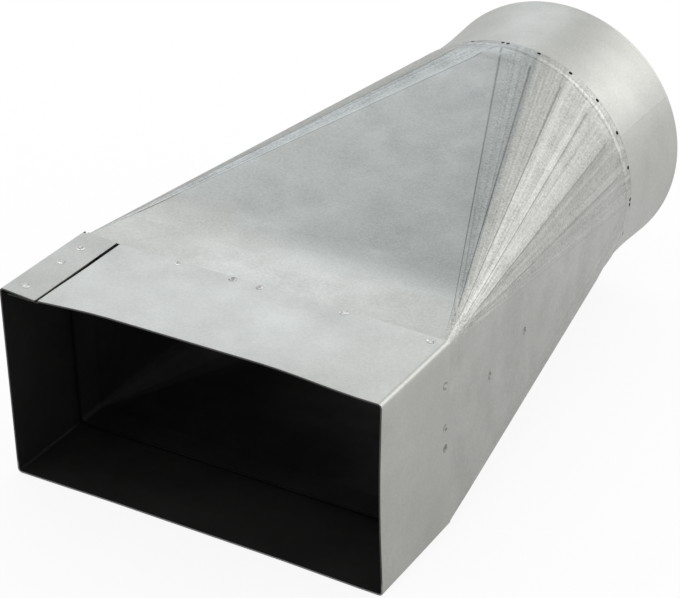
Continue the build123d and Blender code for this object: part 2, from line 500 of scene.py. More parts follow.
def weld_cutters(piece, spots, weld, metal):
    """Balls that sink a shallow dent into a sheet at each spot weld."""
    ball_radius = (weld.radius**2 + weld.depth**2) / (2 * weld.depth)
    deselect_all()
    bpy.ops.mesh.primitive_ico_sphere_add(subdivisions=4, radius=ball_radius)
    ball = take_piece("weld_cutter")
    ball.data.materials.append(metal)
    cutters = []
    for point, direction in spots:
        found, spot, normal, _ = piece.ray_cast(point, direction)
        if not found:
            raise RuntimeError("a spot weld misses its sheet")
        cutter = ball.copy()
        cutter.data = ball.data.copy()
        cutter.location = spot + normal * (ball_radius - weld.depth)
        bpy.context.collection.objects.link(cutter)
        cutters.append(cutter)
    bpy.data.objects.remove(ball)
    return cutters


def top_spots(places):
    """Spot welds on the top, each as a point outside and a direction."""
    return [(Vector((x * MM, y * MM, 2 * HALF_HEIGHT)), Vector((0, 0, -1))) for x, y in places]


def side_spots(places):
    """Spot welds on both sides, each as a point outside and a direction."""
    return [
        (Vector((side * 2 * HALF_WIDTH, y * MM, z * MM)), Vector((-side, 0, 0)))
        for side in (-1, 1)
        for y, z in places
    ]


def pin_cutter(place, radius, tilt, sheet):
    """A pin that cuts a round notch, turned about the duct's direction."""
    deselect_all()
    bpy.ops.mesh.primitive_cylinder_add(
        vertices=16, radius=radius, depth=6 * MM, location=place, rotation=(0, tilt, 0)
    )
    pin = take_piece("pin_cutter")
    # The walls it cuts take the dark inside finish, as painted shade in the hole
    pin.data.materials.append(inside_material(sheet))
    return pin


def finish_piece(piece, *nodes):
    """Smooths a finished sheet, seats it in the frame and lets it stand for its nodes."""
    select_only(piece)
    bpy.ops.object.shade_smooth_by_angle(angle=SHARP_ANGLE)
    apply_modifier(piece, "WEIGHTED_NORMAL", mode="FACE_AREA", weight=50, keep_sharp=True)
    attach(piece, BODY)
    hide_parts(*nodes)


# Node helpers

# Where the Mix node has its sockets for colours: the share and the two colours, and the result
COLOUR_MIX_INPUTS = (0, 6, 7)
COLOUR_MIX_RESULT = 2


def feed(tree, value, socket):
    """Joins an output to an input socket, or sets a number or a colour on it."""
    if isinstance(value, bpy.types.NodeSocket):
        tree.links.new(value, socket)
    else:
        socket.default_value = value


def add_node(tree, kind, **values):
    """Adds a shader node and sets its inputs by name, and its own options where it has no such input."""
    node = tree.nodes.new(kind)
    for name, value in values.items():
        title = name.replace("_", " ").title()
        if title in node.inputs:
            node.inputs[title].default_value = value
        else:
            setattr(node, name, value)
    return node


def calculate(tree, operation, *values):
    """A math node of the given values, each a socket or a number."""
    node = add_node(tree, "ShaderNodeMath", operation=operation)
    for socket, value in zip(node.inputs, values):
        feed(tree, value, socket)
    return node.outputs["Value"]


def add_share(tree, share, mask, amount):
    """Adds an amount of a mask to a share."""
    return calculate(tree, "MULTIPLY_ADD", mask, amount, share)


def map_range(tree, value, source, target, interpolation="LINEAR"):
    """Maps a value from one range to another."""
    node = add_node(
        tree,
        "ShaderNodeMapRange",
        interpolation_type=interpolation,
        from_min=source[0],
        from_max=source[1],
        to_min=target[0],
        to_max=target[1],
    )
    feed(tree, value, node.inputs["Value"])
    return node.outputs["Result"]


def split_place(tree, place):
    """The X, Y and Z of a place."""
    node = tree.nodes.new("ShaderNodeSeparateXYZ")
    feed(tree, place, node.inputs["Vector"])
    return node.outputs["X"], node.outputs["Y"], node.outputs["Z"]


def read_attribute(tree, name):
    """A value that the piece's own mesh holds."""
    return add_node(tree, "ShaderNodeAttribute", attribute_name=name).outputs["Fac"]


def mix_colours(tree, share, first, second):
    """Mixes two colours by a share of the second."""
    node = add_node(tree, "ShaderNodeMix", data_type="RGBA")
    for socket, value in zip(COLOUR_MIX_INPUTS, (share, first, second)):
        feed(tree, value, node.inputs[socket])
    return node.outputs[COLOUR_MIX_RESULT]


def mix_shaders(tree, share, first, second):
    """Mixes two shaders by a share of the second."""
    node = tree.nodes.new("ShaderNodeMixShader")
    for socket, value in zip(node.inputs, (share, first, second)):
        feed(tree, value, socket)
    return node.outputs["Shader"]


def new_group(name, inputs, outputs):
    """A shader node group with its sockets and its two end nodes."""
    group = bpy.data.node_groups.new(name, "ShaderNodeTree")
    for title, kind, value in inputs:
        socket = group.interface.new_socket(title, in_out="INPUT", socket_type=kind)
        if value is not None:
            socket.default_value = value
    for title in outputs:
        group.interface.new_socket(title, in_out="OUTPUT", socket_type="NodeSocketFloat")
    return group, group.nodes.new("NodeGroupInput"), group.nodes.new("NodeGroupOutput")


def add_group(tree, group, place, **values):
    """Adds a node group, reading a place, with the values of its other inputs, and gives its outputs."""
    node = tree.nodes.new("ShaderNodeGroup")
    node.node_tree = group
    feed(tree, place, node.inputs["Vector"])
    for name, value in values.items():
        node.inputs[name.replace("_", " ").title()].default_value = value
    return node.outputs


# Materials

# A share of 1 leaves a finish's own colour, and the amounts below lighten or darken it.
# Noise lies mostly in the first range, and is spread over the second
NOISE_RANGE = (0.3, 0.7)
SWING = (-1.0, 1.0)
ROUGHNESS_SWING = 0.03
EDGE_ON_TINT = 0.85

# The sleeve and the spigot: painted shade at the left and a painted highlight at the right of their tops, and
# heights where it sets in
PLAIN_PATCHES = 0.06
PLAIN_GRAIN = 0.08
SLEEVE_PAINTED_LIGHT = (-0.036, 0.084)
SLEEVE_TOP = (33.5 * MM, 38.5 * MM)
SPIGOT_PAINTED_LIGHT = (-0.23, 0.2)
SPIGOT_TOP = (10 * MM, 45 * MM)

# The body's flats get painted shade behind a line that slants and wavers, most on the right, and a painted
# highlight before it
DULL_START = (68 * MM, 96 * MM)
DULL_SLANT = 0.1
DULL_WAVER = 4 * MM
DULL_SPREAD = (-40 * MM, 45 * MM)
DULL_SHARES = (0.05, 1.15)
FLAT_HIGHLIGHT = 0.1

# The body's fans have more grain, strong streaks near the corners that paint the light and shade of the
# converging folds, and painted shade on the left
FOLDED_PATCHES = 0.08
FOLDED_GRAIN = (0.12, 0.28)
FINE_STREAKS = 0.16
CORNER_STREAKS = (0.3, 0.0)
CORNER_STREAK_SCALE = 38
CORNER_STREAK_ZONE = (SLEEVE_END, SLEEVE_END + 110 * MM)
LEFT_FAN_ZONE = (-10 * MM, 0)
LEFT_FAN_SHADE = (-0.19, 0.0)
# The creases' painted shade is deeper near the corners, and a range of shades gives a range of shares
CREASE_ZONE = (SLEEVE_END, SLEEVE_END + 130 * MM)
CREASE_DEEPENING = (2.0, 1.0)
SHADE_RANGE = (-1.0, 2.0)
SHADE_SHARES = (1.5, 0.0)
# Painted shade of the creases beside the flat sides, and of the others at middle height and at the top
SIDE_CREASE = 0.25
LOW_CREASE = 0.4
TOP_CREASE = 1.0
# How fast the painted highlight on the neck's bend grows away from the middle of each side, and its limit
BEND_HIGHLIGHT_RATE = 1.2
BEND_HIGHLIGHT_LIMIT = 0.4

# The inside, with a line of painted shade along the lip's edge, where the sheets meet
INSIDE_PATCHES = 0.3
CONTACT_SHADE_REACH = (0.2 * MM, 0.8 * MM)
CONTACT_SHADE_SHARES = (0.4, 1.0)

# The cut edges, with a painted highlight along the bottom
EDGE_GRAIN = 0.15
EDGE_HIGHLIGHT_HEIGHTS = (4 * MM - HALF_HEIGHT, 6 * MM - HALF_HEIGHT)
EDGE_HIGHLIGHT_SHARES = (3.0, 1.0)

# The spot welds
WELD_SHARE = 0.95
WELD_FLECKS = 0.6


def zinc_bloom_group():
    """Node group: the cloudy patches and the fine grain of galvanised sheet."""
    name = "zinc bloom"
    if name in bpy.data.node_groups:
        return bpy.data.node_groups[name]
    inputs = (
        ("Vector", "NodeSocketVector", None),
        ("Patch Scale", "NodeSocketFloat", 45),
        ("Grain Scale", "NodeSocketFloat", 1100),
    )
    group, start, end = new_group(name, inputs, ("Patches", "Grain"))
    noises = (("Patches", "Patch Scale", 5.0, 0.62), ("Grain", "Grain Scale", 4.0, 0.65))
    for title, scale, detail, roughness in noises:
        noise = add_node(group, "ShaderNodeTexNoise", detail=detail, roughness=roughness)
        feed(group, start.outputs["Vector"], noise.inputs["Vector"])
        feed(group, start.outputs[scale], noise.inputs["Scale"])
        feed(group, map_range(group, noise.outputs["Fac"], NOISE_RANGE, SWING), end.inputs[title])
    return group


def fold_streaks_group():
    """Node group: fine streaks that fan out from the corners where the folds start."""
    name = "fold streaks"
    if name in bpy.data.node_groups:
        return bpy.data.node_groups[name]
    inputs = (("Vector", "NodeSocketVector", None), ("Scale", "NodeSocketFloat", 150))
    group, start, end = new_group(name, inputs, ("Streaks",))
    quarter = add_node(group, "ShaderNodeVectorMath", operation="ABSOLUTE")
    ray = add_node(group, "ShaderNodeVectorMath", operation="SUBTRACT")
    ray.inputs[1].default_value = (HALF_WIDTH, SLEEVE_END, HALF_HEIGHT)
    direction = add_node(group, "ShaderNodeVectorMath", operation="NORMALIZE")
    noise = add_node(group, "ShaderNodeTexNoise", detail=2.0, roughness=0.6)
    feed(group, start.outputs["Vector"], quarter.inputs[0])
    feed(group, quarter.outputs["Vector"], ray.inputs[0])
    feed(group, ray.outputs["Vector"], direction.inputs[0])
    feed(group, direction.outputs["Vector"], noise.inputs["Vector"])
    feed(group, start.outputs["Scale"], noise.inputs["Scale"])
    feed(group, map_range(group, noise.outputs["Fac"], NOISE_RANGE, SWING), end.inputs["Streaks"])
    return group


def material_once(name, lay_out, *values):
    """The material of a name, with its nodes laid out when it is first asked for."""
    material = bpy.data.materials.get(name)
    if material is None:
        material = bpy.data.materials.new(name)
        material.use_nodes = True
        tree = material.node_tree
        place = tree.nodes.new("ShaderNodeTexCoord").outputs["Object"]
        lay_out(tree, place, tree.nodes["Principled BSDF"], *values)
    return material


def paint(tree, metal, share, shader):
    """Scales a colour by a share and hands it to the shader."""
    node = add_node(tree, "ShaderNodeVectorMath", operation="SCALE")
    feed(tree, metal, node.inputs[0])
    feed(tree, share, node.inputs["Scale"])
    feed(tree, node.outputs["Vector"], shader.inputs["Base Color"])


def roughen(tree, bloom, roughness, shader):
    """Roughness that follows the patches and a faint bump that follows the grain, on bare metal."""
    swing = (roughness + ROUGHNESS_SWING, roughness - ROUGHNESS_SWING)
    feed(tree, map_range(tree, bloom["Patches"], SWING, swing), shader.inputs["Roughness"])
    bump = add_node(tree, "ShaderNodeBump", strength=0.06, distance=0.2 * MM)
    feed(tree, bloom["Grain"], bump.inputs["Height"])
    feed(tree, bump.outputs["Normal"], shader.inputs["Normal"])
    shader.inputs["Metallic"].default_value = 1.0
    shader.inputs["Specular Tint"].default_value = (EDGE_ON_TINT, EDGE_ON_TINT, EDGE_ON_TINT, 1.0)


def smooth_zinc(sheet):
    """Zinc of the plain folded sleeve."""
    values = (sheet.zinc, sheet.smooth_roughness, SLEEVE_PAINTED_LIGHT, SLEEVE_TOP)
    return material_once("smooth zinc", lay_plain_zinc, *values)


def rolled_zinc(sheet):
    """Zinc of the spigot, which the rollers left a little duller."""
    values = (sheet.rolled_zinc, sheet.rolled_roughness, SPIGOT_PAINTED_LIGHT, SPIGOT_TOP)
    return material_once("rolled zinc", lay_plain_zinc, *values)


def lay_plain_zinc(tree, place, shader, metal, roughness, painted_light, top):
    """Smooth zinc with faint patches, its top given painted shade on the left and a painted highlight on the
    right.
    """
    x, _, z = split_place(tree, place)
    bloom = add_group(tree, zinc_bloom_group(), place, patch_scale=40)
    share = add_share(tree, 1.0, bloom["Patches"], PLAIN_PATCHES)
    share = add_share(tree, share, bloom["Grain"], PLAIN_GRAIN)
    on_top = map_range(tree, z, top, (0, 1))
    share = add_share(tree, share, on_top, map_range(tree, x, (-HALF_WIDTH, HALF_WIDTH), painted_light))
    paint(tree, metal, share, shader)
    roughen(tree, bloom, roughness, shader)


def folded_zinc(sheet):
    """Zinc of the folded body."""
    return material_once("folded zinc", lay_folded_zinc, sheet)


def lay_folded_zinc(tree, place, shader, sheet):
    """Zinc with painted shade on its flats behind the soft bend and a painted highlight before it, streaked
    along the folds, with painted shade in the creases.
    """
    x, y, _ = split_place(tree, place)
    bloom = add_group(tree, zinc_bloom_group(), place, patch_scale=60)
    flat, fan, shade = [read_attribute(tree, name) for name in ("flat", "fan", "shade")]

    # The flats behind the soft bend, bluer than the rest, with painted shade that grows towards the right
    slant = calculate(tree, "MULTIPLY_ADD", x, DULL_SLANT, y)
    start = calculate(tree, "MULTIPLY_ADD", bloom["Patches"], DULL_WAVER, slant)
    behind = calculate(tree, "MULTIPLY", map_range(tree, start, DULL_START, (0, 1), "SMOOTHSTEP"), flat)
    darkened = calculate(tree, "MULTIPLY", behind, map_range(tree, x, DULL_SPREAD, DULL_SHARES))
    clean = mix_colours(tree, behind, (*sheet.zinc, 1), (*sheet.flat_zinc, 1))
    metal = mix_colours(tree, darkened, clean, (*sheet.shaded_flat_zinc, 1))

    # Patches, grain, streaks on the fans, a painted highlight on the flats before the bend and painted shade
    # on the fans on the left
    share = add_share(tree, 1.0, bloom["Patches"], FOLDED_PATCHES)
    share = add_share(tree, share, bloom["Grain"], map_range(tree, fan, (0, 1), FOLDED_GRAIN))
    fine = add_group(tree, fold_streaks_group(), place)
    share = add_share(tree, share, fine["Streaks"], calculate(tree, "MULTIPLY", fan, FINE_STREAKS))
    # Strong streaks near the corners: painted light and shade of the converging folds
    strong = add_group(tree, fold_streaks_group(), place, scale=CORNER_STREAK_SCALE)
    at_corner = map_range(tree, y, CORNER_STREAK_ZONE, CORNER_STREAKS)
    share = add_share(tree, share, strong["Streaks"], calculate(tree, "MULTIPLY", at_corner, fan))
    share = add_share(tree, share, calculate(tree, "SUBTRACT", flat, behind), FLAT_HIGHLIGHT)
    share = add_share(tree, share, fan, map_range(tree, x, LEFT_FAN_ZONE, LEFT_FAN_SHADE))

    # Painted shade along the creases, deeper towards the corners, and the painted highlight on the neck's
    # bend
    shade = calculate(tree, "MULTIPLY", shade, map_range(tree, y, CREASE_ZONE, CREASE_DEEPENING))
    share = calculate(tree, "MULTIPLY", share, map_range(tree, shade, SHADE_RANGE, SHADE_SHARES))
    paint(tree, metal, share, shader)
    roughen(tree, bloom, sheet.folded_roughness, shader)


def inside_material(sheet):
    """The shaded inside of the duct."""
    return material_once("shaded inside", lay_inside, sheet)


def lay_inside(tree, place, shader, sheet):
    """Nearly black sheet with a faint bloom, and a line of painted shade along the lip's edge."""
    _, y, _ = split_place(tree, place)
    bloom = add_group(tree, zinc_bloom_group(), place, patch_scale=30)
    off_lip = calculate(tree, "ABSOLUTE", calculate(tree, "SUBTRACT", y, RECT_LIP_START))
    share = add_share(tree, 1.0, bloom["Patches"], INSIDE_PATCHES)
    share = calculate(tree, "MULTIPLY", share, map_range(tree, off_lip, CONTACT_SHADE_REACH, CONTACT_SHADE_SHARES))
    paint(tree, sheet.inside, share, shader)
    roughen(tree, bloom, sheet.inside_roughness, shader)


def edge_material(sheet):
    """Bare steel at the sheet's cut edges."""
    return material_once("cut steel edge", lay_edge, sheet)


def lay_edge(tree, place, shader, sheet):
    """Dark steel with the marks of the shears, its darkness painted shade, with a painted highlight along the
    bottom.
    """
    _, _, z = split_place(tree, place)
    bloom = add_group(tree, zinc_bloom_group(), place, grain_scale=1500)
    share = add_share(tree, 1.0, bloom["Grain"], EDGE_GRAIN)
    share = calculate(tree, "MULTIPLY", share, map_range(tree, z, EDGE_HIGHLIGHT_HEIGHTS, EDGE_HIGHLIGHT_SHARES))
    paint(tree, sheet.cut_edge, share, shader)
    roughen(tree, bloom, sheet.edge_roughness, shader)


def lit_weld(sheet):
    """Metal of the spot welds on the top, lightened as a painted highlight."""
    return material_once("pressed weld", lay_weld, sheet.lit_weld_metal, sheet.weld_roughness)


def shaded_weld(sheet):
    """Metal of the spot welds on the sides, darkened as painted shade."""
    return material_once("burnt weld", lay_weld, sheet.shaded_weld_metal, sheet.weld_roughness)


def lay_weld(tree, place, shader, metal, roughness):
    """Flecked metal of a spot weld."""
    bloom = add_group(tree, zinc_bloom_group(), place, patch_scale=650)
    paint(tree, metal, add_share(tree, WELD_SHARE, bloom["Patches"], WELD_FLECKS), shader)
    roughen(tree, bloom, roughness, shader)


# Rectangular sleeve


def faces_up(face):
    """True for the faces of the top wall."""
    return face.normal.z > FACING


def at_mouth(vert):
    """True for a vertex at the mouth's rim."""
    return near(vert.co.y, 0)


def at_slit(edge, slit_edge, tongue_start, tongue_end):
    """True for the edges of the top wall beside the slit, between the rim and the body's lip."""
    place = middle(edge)
    return (
        all(near(vert.co.x, slit_edge) for vert in edge.verts)
        and place.z > HALF_HEIGHT / 2
        and tongue_start < place.y < tongue_end
    )


class DUCT_OT_rect_sleeve(Operator):
    """Fold the rectangular sleeve, with the lap that closes it under its tab"""

    bl_idname = "duct.rect_sleeve"
    bl_label = "Rectangular sleeve"

    def execute(self, context):
        settings = context.scene.duct_reducer
        sleeve = settings.sleeve
        tab_edge = -HALF_WIDTH + sleeve.tab_width
        slit_edge = tab_edge + sleeve.slit_width
        tongue_end = RECT_LIP_START - sleeve.lap_margin
        piece = self.fold_walls(sleeve)
        self.cut_slit(tab_edge, slit_edge)
        self.bow_walls(sleeve, slit_edge, tongue_end)
        skew_seam(sleeve.seam_skew)
        self.joggle_tongue(sleeve, slit_edge, tongue_end)
        face_outwards()
        bpy.ops.object.mode_set(mode="OBJECT")
        thicken(piece, settings.sheet, smooth_zinc, EDGE, lambda place: place.y < tongue_end + TOUCH)
        self.set_finishes(piece, sleeve, slit_edge)
        cut_away(piece, self.dents_and_nick(piece, settings))
        finish_piece(piece, "rect_sleeve")
        return {"FINISHED"}

    def fold_walls(self, sleeve):
        """Four walls from a box with open ends and rounded folds."""
        deselect_all()
        bpy.ops.mesh.primitive_cube_add(
            size=1, location=(0, SLEEVE_END / 2, 0), scale=(2 * HALF_WIDTH, SLEEVE_END, 2 * HALF_HEIGHT)
        )
        piece = take_piece("sleeve_sheet")
        bpy.ops.object.mode_set(mode="EDIT")
        pick("FACE", lambda face: abs(face.normal.y) > FACING)
        bpy.ops.mesh.delete(type="FACE")
        pick("EDGE", lambda edge: near(middle(edge).y, SLEEVE_END / 2))
        bpy.ops.mesh.bevel(offset=sleeve.fold_radius, segments=sleeve.fold_steps, profile=0.5)
        return piece

    def cut_slit(self, tab_edge, slit_edge):
        """The slit beside the tab, in the top wall."""
        for edge_x in (tab_edge, slit_edge):
            pick("FACE", faces_up)
            bpy.ops.mesh.bisect(plane_co=(edge_x, 0, 0), plane_no=ACROSS)
        pick("FACE", lambda face: faces_up(face) and tab_edge < middle(face).x < slit_edge)
        bpy.ops.mesh.delete(type="FACE")

    def bow_walls(self, sleeve, slit_edge, tongue_end):
        """Cuts rows into the walls, arches the rim, pushes its right side in and lifts the tab's fold."""
        wall_x = HALF_WIDTH - sleeve.fold_radius
        wall_z = HALF_HEIGHT - sleeve.fold_radius
        rows = places_between(0, SLEEVE_END, sleeve.row_spacing)
        cut_across(ALONG, rows + [sleeve.lap_margin, tongue_end])
        cut_across(ACROSS, places_between(slit_edge, wall_x, sleeve.row_spacing))
        cut_across(UP, places_between(-wall_z, wall_z, sleeve.row_spacing))
        bow_half = HALF_WIDTH - sleeve.bow_reach
        for rise, lift in ((1, sleeve.top_bow), (-1, sleeve.bottom_bow)):
            pick("VERT", lambda vert: at_mouth(vert) and in_stretch(vert, rise, wall_z, bow_half))
            bow((0, 0, lift), sleeve.bow_reach)
        push_half = sleeve.row_spacing
        pick("VERT", lambda vert: at_mouth(vert) and vert.co.x > wall_x and abs(vert.co.z) < push_half)
        bow((-sleeve.side_bow, 0, 0), sleeve.bow_reach)
        pick("VERT", lambda vert: vert.co.x < -wall_x and vert.co.z > wall_z)
        bow((0, 0, sleeve.corner_lift), sleeve.lift_reach)

    def joggle_tongue(self, sleeve, slit_edge, tongue_end):
        """The tongue, joggled down from the slit and in under the tab."""
        tongue_width = sleeve.tab_width + sleeve.slit_width - sleeve.lap_drop
        tongue_width -= sleeve.fold_radius + sleeve.lap_margin
        pick("EDGE", lambda edge: at_slit(edge, slit_edge, sleeve.lap_margin, tongue_end))
        extrude_edges(-sleeve.lap_drop, 0, -sleeve.lap_drop)
        extrude_edges(-tongue_width, 0, 0)

    def set_finishes(self, piece, sleeve, slit_edge):
        """Shades what lies under the tab, and leaves bare steel only at the mouth's rim."""
        for polygon in piece.data.polygons:
            x, y, z = polygon.center
            over_tongue = -HALF_WIDTH + sleeve.fold_radius < x < slit_edge - sleeve.lap_drop / 2
            if over_tongue and HALF_HEIGHT / 2 < z < HALF_HEIGHT - sleeve.lap_drop / 2:
                polygon.material_index = INSIDE
            elif polygon.material_index == EDGE and y > sleeve.lap_drop:
                polygon.material_index = ZINC

    def dents_and_nick(self, piece, settings):
        """Cutters for the spot welds of the lap and of the sleeve to the body, and for the nick."""
        sleeve, sheet, weld = settings.sleeve, settings.sheet, settings.weld
        cutters = weld_cutters(piece, top_spots(LAP_WELDS + TOP_WELDS), weld, lit_weld(sheet))
        cutters += weld_cutters(piece, side_spots(SIDE_WELDS), weld, shaded_weld(sheet))
        nick = (-HALF_WIDTH + sleeve.nick_inset, SLEEVE_END - sleeve.nick_reach, HALF_HEIGHT)
        cutters.append(pin_cutter(nick, sleeve.nick_radius, 0, sheet))
        return cutters


# Folded body


def neck_start(body):
    """Where the round neck starts along the duct."""
    return SPIGOT_START - body.neck_length


def fade_start(body):
    """Where the folds start to fade along the duct."""
    return neck_start(body) - body.fade_length


def neck_radius(body):
    """Radius of the ring on which the folds end."""
    return SPIGOT_RADIUS - body.neck_inset


def fold_end_places(body):
    """Angles of the folds' round ends, two at each apex."""
    step = pi / 2 / body.folds_per_corner
    half_apex = body.apex_width / 2 / neck_radius(body)
    places = []
    for i in range(4 * body.folds_per_corner):
        if i % body.folds_per_corner:
            places.append(i * step)
        else:
            places += [i * step - half_apex, i * step + half_apex]
    return places


def is_crease(vert, places):
    """True for a vertex on the line of a fold, between its two shoulders."""
    turn = atan2(vert.co.z, vert.co.x)
    return any(abs(sin((turn - place) / 2)) < CREASE_ANGLE for place in places)


def is_flat_side(face, end):
    """True for the faces of the body's flat top and bottom in front of a place along the duct."""
    return abs(face.normal.z) > FLAT_SIDE and middle(face).y < end


def is_flat_vert(vert):
    """True for a vertex inside the flat top or bottom."""
    return all(abs(face.normal.z) > FLAT_AROUND for face in vert.link_faces)


def at_seam(edge, side, end):
    """True for the edges of the lower half along one side seam, behind the sleeve and in front of a place."""
    return all(
        near(vert.co.z, 0) and vert.co.x * side > 0 and SLEEVE_END + TOUCH < vert.co.y < end + TOUCH
        for vert in edge.verts
    )


def at_body_rim(place):
    """True for the edges of the body's two lips."""
    return place.y < RECT_LIP_START + TOUCH or place.y > SPIGOT_START


def note_finishes(places, flat_width, dull_width):
    """Notes on the ring in edit mode how much painted shade each crease gets, and which parts are fans or
    flats.
    """
    mesh = bmesh.from_edit_mesh(bpy.context.edit_object.data)
    shade, fan, flat = [mesh.verts.layers.float.new(name) for name in ("shade", "fan", "flat")]
    for vert in mesh.verts:
        depth = LOW_CREASE + (TOP_CREASE - LOW_CREASE) * abs(vert.co.z) / vert.co.xz.length
        if abs(vert.co.z) < flat_width:
            depth = SIDE_CREASE
        vert[shade] = depth if is_crease(vert, places) else 0.0
        vert[fan] = float(min(abs(vert.co.x), abs(vert.co.z)) > flat_width)
        vert[flat] = float(abs(vert.co.x) < dull_width)


def fade_creases(piece, body):
    """Fades the creases' painted shade towards the round neck and on the lips, and paints a highlight on the
    neck's bend and shade on the row just before it.
    """
    start = neck_start(body)
    values = piece.data.attributes["shade"].data
    for vert in piece.data.vertices:
        x, y, z = vert.co
        end = SPIGOT_START if min(abs(x), abs(z)) < APEX_REACH else (fade_start(body) + start) / 2
        off_apex = abs(x * z) / SPIGOT_RADIUS**2
        # Painted highlight on the bend's ridge, and painted shade on the row just before it
        if any(near(y, start + row * MM) for row in BEND_HIGHLIGHT_ROWS):
            values[vert.index].value = -min(BEND_HIGHLIGHT_LIMIT, BEND_HIGHLIGHT_RATE * off_apex)
        elif near(y, start + NECK_PROFILE[0][0] * MM):
            values[vert.index].value = off_apex
        elif y > end or y < SLEEVE_END + TOUCH:
            values[vert.index].value = 0.0


class DUCT_OT_body_halves(Operator):
    """Fold the body from the rectangle to the round neck, and part it into its two halves"""

    bl_idname = "duct.body_halves"
    bl_label = "Body halves"

    def execute(self, context):
        settings = context.scene.duct_reducer
        body = settings.body
        upper = self.fold_ring(body)
        self.draw_to_corners(body)
        self.bend_flats(body)
        self.fade_folds(body)
        self.form_neck(body, settings.spigot)
        self.form_sleeve_lip(body)
        face_outwards()
        lower = self.part_lower_half(context, upper, settings.sleeve.seam_skew)
        self.add_seam_tongues(lower, body)
        self.finish_half(upper, 1, settings)
        finish_piece(upper, "upper_half_shell")
        self.finish_half(lower, -1, settings)
        finish_piece(lower, "lower_half_shell")
        return {"FINISHED"}

    def fold_ring(self, body):
        """Ring of fold ends: an apex flat at each quarter and a narrow crease at every fold."""
        folds = 4 * body.folds_per_corner
        radius = neck_radius(body)
        deselect_all()
        bpy.ops.mesh.primitive_circle_add(
            vertices=folds,
            radius=radius,
            fill_type="NGON",
            location=(0, neck_start(body), 0),
            rotation=(pi / 2, 0, 0),
        )
        piece = take_piece("upper_shell_sheet")
        bpy.ops.object.mode_set(mode="EDIT")
        pick("VERT", lambda vert: near(min(abs(vert.co.x), abs(vert.co.z)), 0))
        bpy.ops.mesh.bevel(offset=body.apex_width / 2, segments=1, affect="VERTICES")
        pick_all()
        bpy.ops.mesh.bevel(offset=body.crease_width / 2, segments=2, affect="VERTICES")
        pick_all()
        bpy.ops.mesh.delete(type="ONLY_FACE")
        facet_width = 2 * radius * sin(pi / folds)
        pick("EDGE", lambda edge: edge.calc_length() > facet_width / 2)
        bpy.ops.mesh.subdivide(number_cuts=body.facet_cuts)
        fold_ends = fold_end_places(body)
        note_finishes(fold_ends, body.apex_width, facet_width + body.apex_width)
        pick("VERT", lambda vert: is_crease(vert, fold_ends))
        groove = 1 - body.crease_depth / radius
        scale_across(groove, groove)
        return piece

    def draw_to_corners(self, body):
        """The folded walls, each quarter of the ring drawn down to a corner of the rectangle."""
        pick_all()
        extrude_edges(0, SLEEVE_END - neck_start(body), 0)
        shrink = body.corner_radius / neck_radius(body)
        for side, rise in ((-1, -1), (-1, 1), (1, -1), (1, 1)):
            pick("VERT", lambda vert: at_sleeve_end(vert) and vert.co.x * side > 0 and vert.co.z * rise > 0)
            scale_across(shrink, shrink)
            corner_x = side * (HALF_WIDTH - body.corner_radius)
            corner_z = rise * (HALF_HEIGHT - body.corner_radius)
            bpy.ops.transform.translate(value=(corner_x, 0, corner_z))

    def bend_flats(self, body):
        """The top and the bottom run on flat behind the sleeve, then bend softly."""
        bend = SLEEVE_END + body.bend_place
        fade = fade_start(body)
        cut_across(ALONG, [bend, fade])
        half_width = body.bend_width / 2
        for column in places_between(-half_width, half_width, body.bend_columns):
            pick("FACE", lambda face: is_flat_side(face, fade))
            bpy.ops.mesh.bisect(plane_co=(column, 0, 0), plane_no=ACROSS)
        bow_half = half_width - body.bend_reach
        for rise in (-1, 1):
            pick("VERT", lambda vert: near(vert.co.y, bend) and in_stretch(vert, rise, 0, bow_half))
            bow((0, 0, -rise * body.bend_depth), body.bend_reach)
        soft_start, soft_end = bend - body.bend_softness, bend + body.bend_softness
        cut_across(ALONG, [soft_start, soft_end] + places_between(soft_end, fade, body.row_spacing))
        for start, end in ((soft_start, bend), (bend, soft_end)):
            cut_across(ALONG, places_between(start, end, body.bend_rows))
        pick("VERT", lambda vert: soft_start < vert.co.y < soft_end and is_flat_vert(vert))
        bpy.ops.mesh.vertices_smooth(factor=0.5, repeat=12, xaxis=False, yaxis=False, zaxis=True)

    def fade_folds(self, body):
        """The folds fade into the round neck, whose ring stays selected."""
        start, end = fade_start(body), neck_start(body)
        rows = places_between(start, end, body.fade_spacing)
        cut_across(ALONG, rows)
        for row in rows + [end]:
            pick("VERT", lambda vert: near(vert.co.y, row))
            bpy.ops.transform.tosphere(value=(row - start) / body.fade_length)

    def form_neck(self, body, spigot):
        """The selected ring steps out to stand flush with the spigot, and the lip dips in behind its edge."""
        row = neck_start(body)
        for along, inset in NECK_PROFILE:
            next_row = neck_start(body) + along * MM
            extrude_edges(0, next_row - row, 0)
            set_ring_radius(SPIGOT_RADIUS - inset * MM)
            row = next_row
        extrude_edges(0, body.lip_dip_length, 0)
        set_ring_radius(LIP_RADIUS)
        extrude_edges(0, ROUND_LIP_END - row - body.lip_dip_length, 0)
        drop = spigot.press_drop * smooth_share(spigot.press_start, spigot.press_reach)
        press_oval(spigot, lambda vert: vert.co.y > SPIGOT_START - TOUCH, drop, body.press_reach)

    def form_sleeve_lip(self, body):
        """The lip inside the sleeve."""
        pick("EDGE", lambda edge: all(at_sleeve_end(vert) for vert in edge.verts))
        extrude_edges(0, 0, 0)
        scale_across(1 - body.lip_inset / HALF_WIDTH, 1 - body.lip_inset / HALF_HEIGHT)
        extrude_edges(0, RECT_LIP_START - SLEEVE_END, 0)

